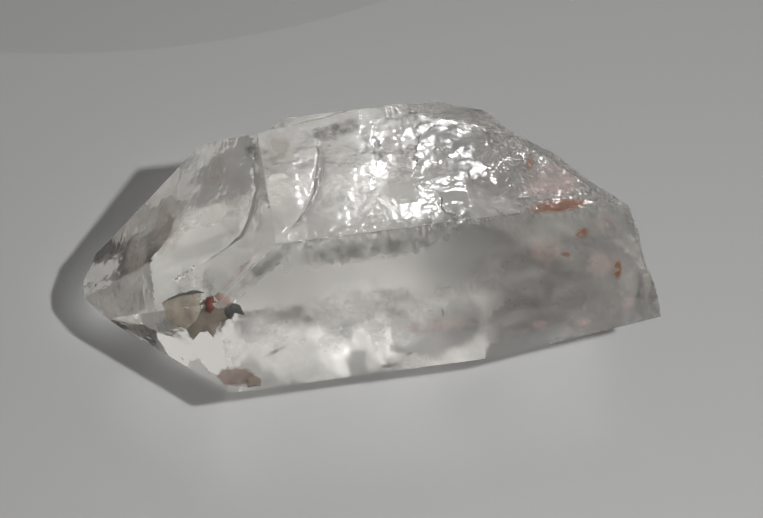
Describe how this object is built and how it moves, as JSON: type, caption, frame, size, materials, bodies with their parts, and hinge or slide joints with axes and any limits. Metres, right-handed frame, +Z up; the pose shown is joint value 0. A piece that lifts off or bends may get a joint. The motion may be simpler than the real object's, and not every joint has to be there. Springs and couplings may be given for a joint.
{
  "type": "quartz crystal point",
  "caption": "Clear quartz point lying on a side face: six-sided crystal with a faceted tip, a growth ledge and a rough broken base.",
  "frame": {"origin": "middle of the crystal's length and width, on the surface it rests on", "axes": "+X along the crystal's long axis from its tip to its broken base, +Z up from the rest face"},
  "size_m": [0.0654, 0.0344, 0.0313],
  "materials": {
    "quartz": "natural crystal faces, part glossy and part etched"
  },
  "bodies": {
    "root": {"quartz_crystal": "quartz"}
  },
  "joints": []
}
